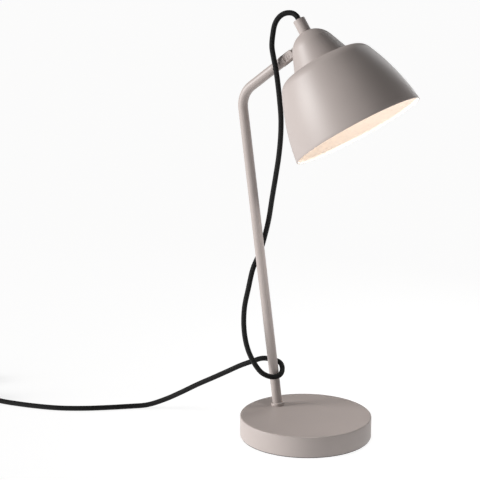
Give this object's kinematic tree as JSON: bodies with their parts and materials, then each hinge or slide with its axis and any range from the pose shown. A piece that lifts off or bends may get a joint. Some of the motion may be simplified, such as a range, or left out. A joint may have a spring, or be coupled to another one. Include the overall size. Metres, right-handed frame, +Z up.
{
  "type": "desk lamp",
  "caption": "Desk lamp with a round weighted base, a leaning bent stem, a tilting bell-and-dome shade and a textile cord with in-line switch and plug.",
  "frame": {"origin": "middle of the base's underside, on the table", "axes": "+Z up; the stem leans towards -X, the shade points towards +X; the hinge's axis is along +Y"},
  "size_m": [0.7555, 0.2294, 0.5128],
  "materials": {
    "powder_coat": "satin powder coat, warm grey",
    "shade_coat": "satin powder coat outside, white enamel inside",
    "cast_weight": "rough cast",
    "pad": "matt foam pad",
    "zinc_steel": "zinc plated",
    "hinge_metal": "satin powder coat, a shade darker",
    "nylon": "natural nylon",
    "black_plastic": "moulded, fine matt",
    "rocker_plastic": "moulded, smooth",
    "holder_plastic": "moulded thermoplastic",
    "brass": "bright",
    "ceramic": "glazed ceramic",
    "lead_brown": "core insulation",
    "lead_blue": "core insulation",
    "textile_cord": "black braided textile",
    "nickel": "nickel plated",
    "lit_glass": "opal glass, lit warm",
    "tie": "soft hook tape"
  },
  "bodies": {
    "stand": {"base_cover": "powder_coat", "base_weight": "cast_weight", "base_pad": "pad", "foot_ferrule": "powder_coat", "stem_stud": "zinc_steel", "stem_washer": "zinc_steel", "stem_nut": "zinc_steel", "stem_tube": "powder_coat", "arm_clevis": "powder_coat", "hinge_screw": "hinge_metal", "hinge_nut": "hinge_metal", "hinge_washers": "nylon", "cord_drop": "textile_cord", "cord_wrap": "textile_cord", "cord_tail": "textile_cord", "cord_link": "textile_cord", "cord_coil": "textile_cord", "cord_lead": "textile_cord", "coil_tie": "tie", "switch_tray": "black_plastic", "switch_lid": "black_plastic", "switch_screws": "zinc_steel", "plug_body": "black_plastic", "plug_sleeves": "black_plastic", "plug_pins": "nickel"},
    "head": {"hinge_tongue": "hinge_metal", "tongue_stud": "zinc_steel", "tongue_washer": "zinc_steel", "tongue_nut": "zinc_steel", "shade_shell": "shade_coat", "cord_collar": "powder_coat", "cord_grip": "black_plastic", "collar_screw": "black_plastic", "nipple": "brass", "nipple_nut": "brass", "holder_cap": "holder_plastic", "holder_body": "holder_plastic", "holder_insert": "ceramic", "holder_sleeve": "brass", "centre_contact": "brass", "terminals": "brass", "lead_live": "lead_brown", "lead_neutral": "lead_blue", "cord_entry": "textile_cord", "bulb_cap": "nickel", "bulb_insulator": "black_plastic", "bulb_contact": "nickel", "bulb_globe": "lit_glass"},
    "rocker": {"switch_rocker": "rocker_plastic"}
  },
  "joints": [
    {"name": "head_tilt", "type": "hinge", "parent": "stand", "child": "head", "pos_m": [-0.03455, 0.014, 0.45859], "axis": [0, 1, 0], "range_deg": [-40, 30], "deforming": ["cord_drop"]},
    {"name": "switch_press", "type": "hinge", "parent": "stand", "child": "rocker", "pos_m": [-0.457, -0.1134, 0.0161], "axis": [-0.1736, 0.9848, 0], "range_deg": [-14, 0]}
  ]
}
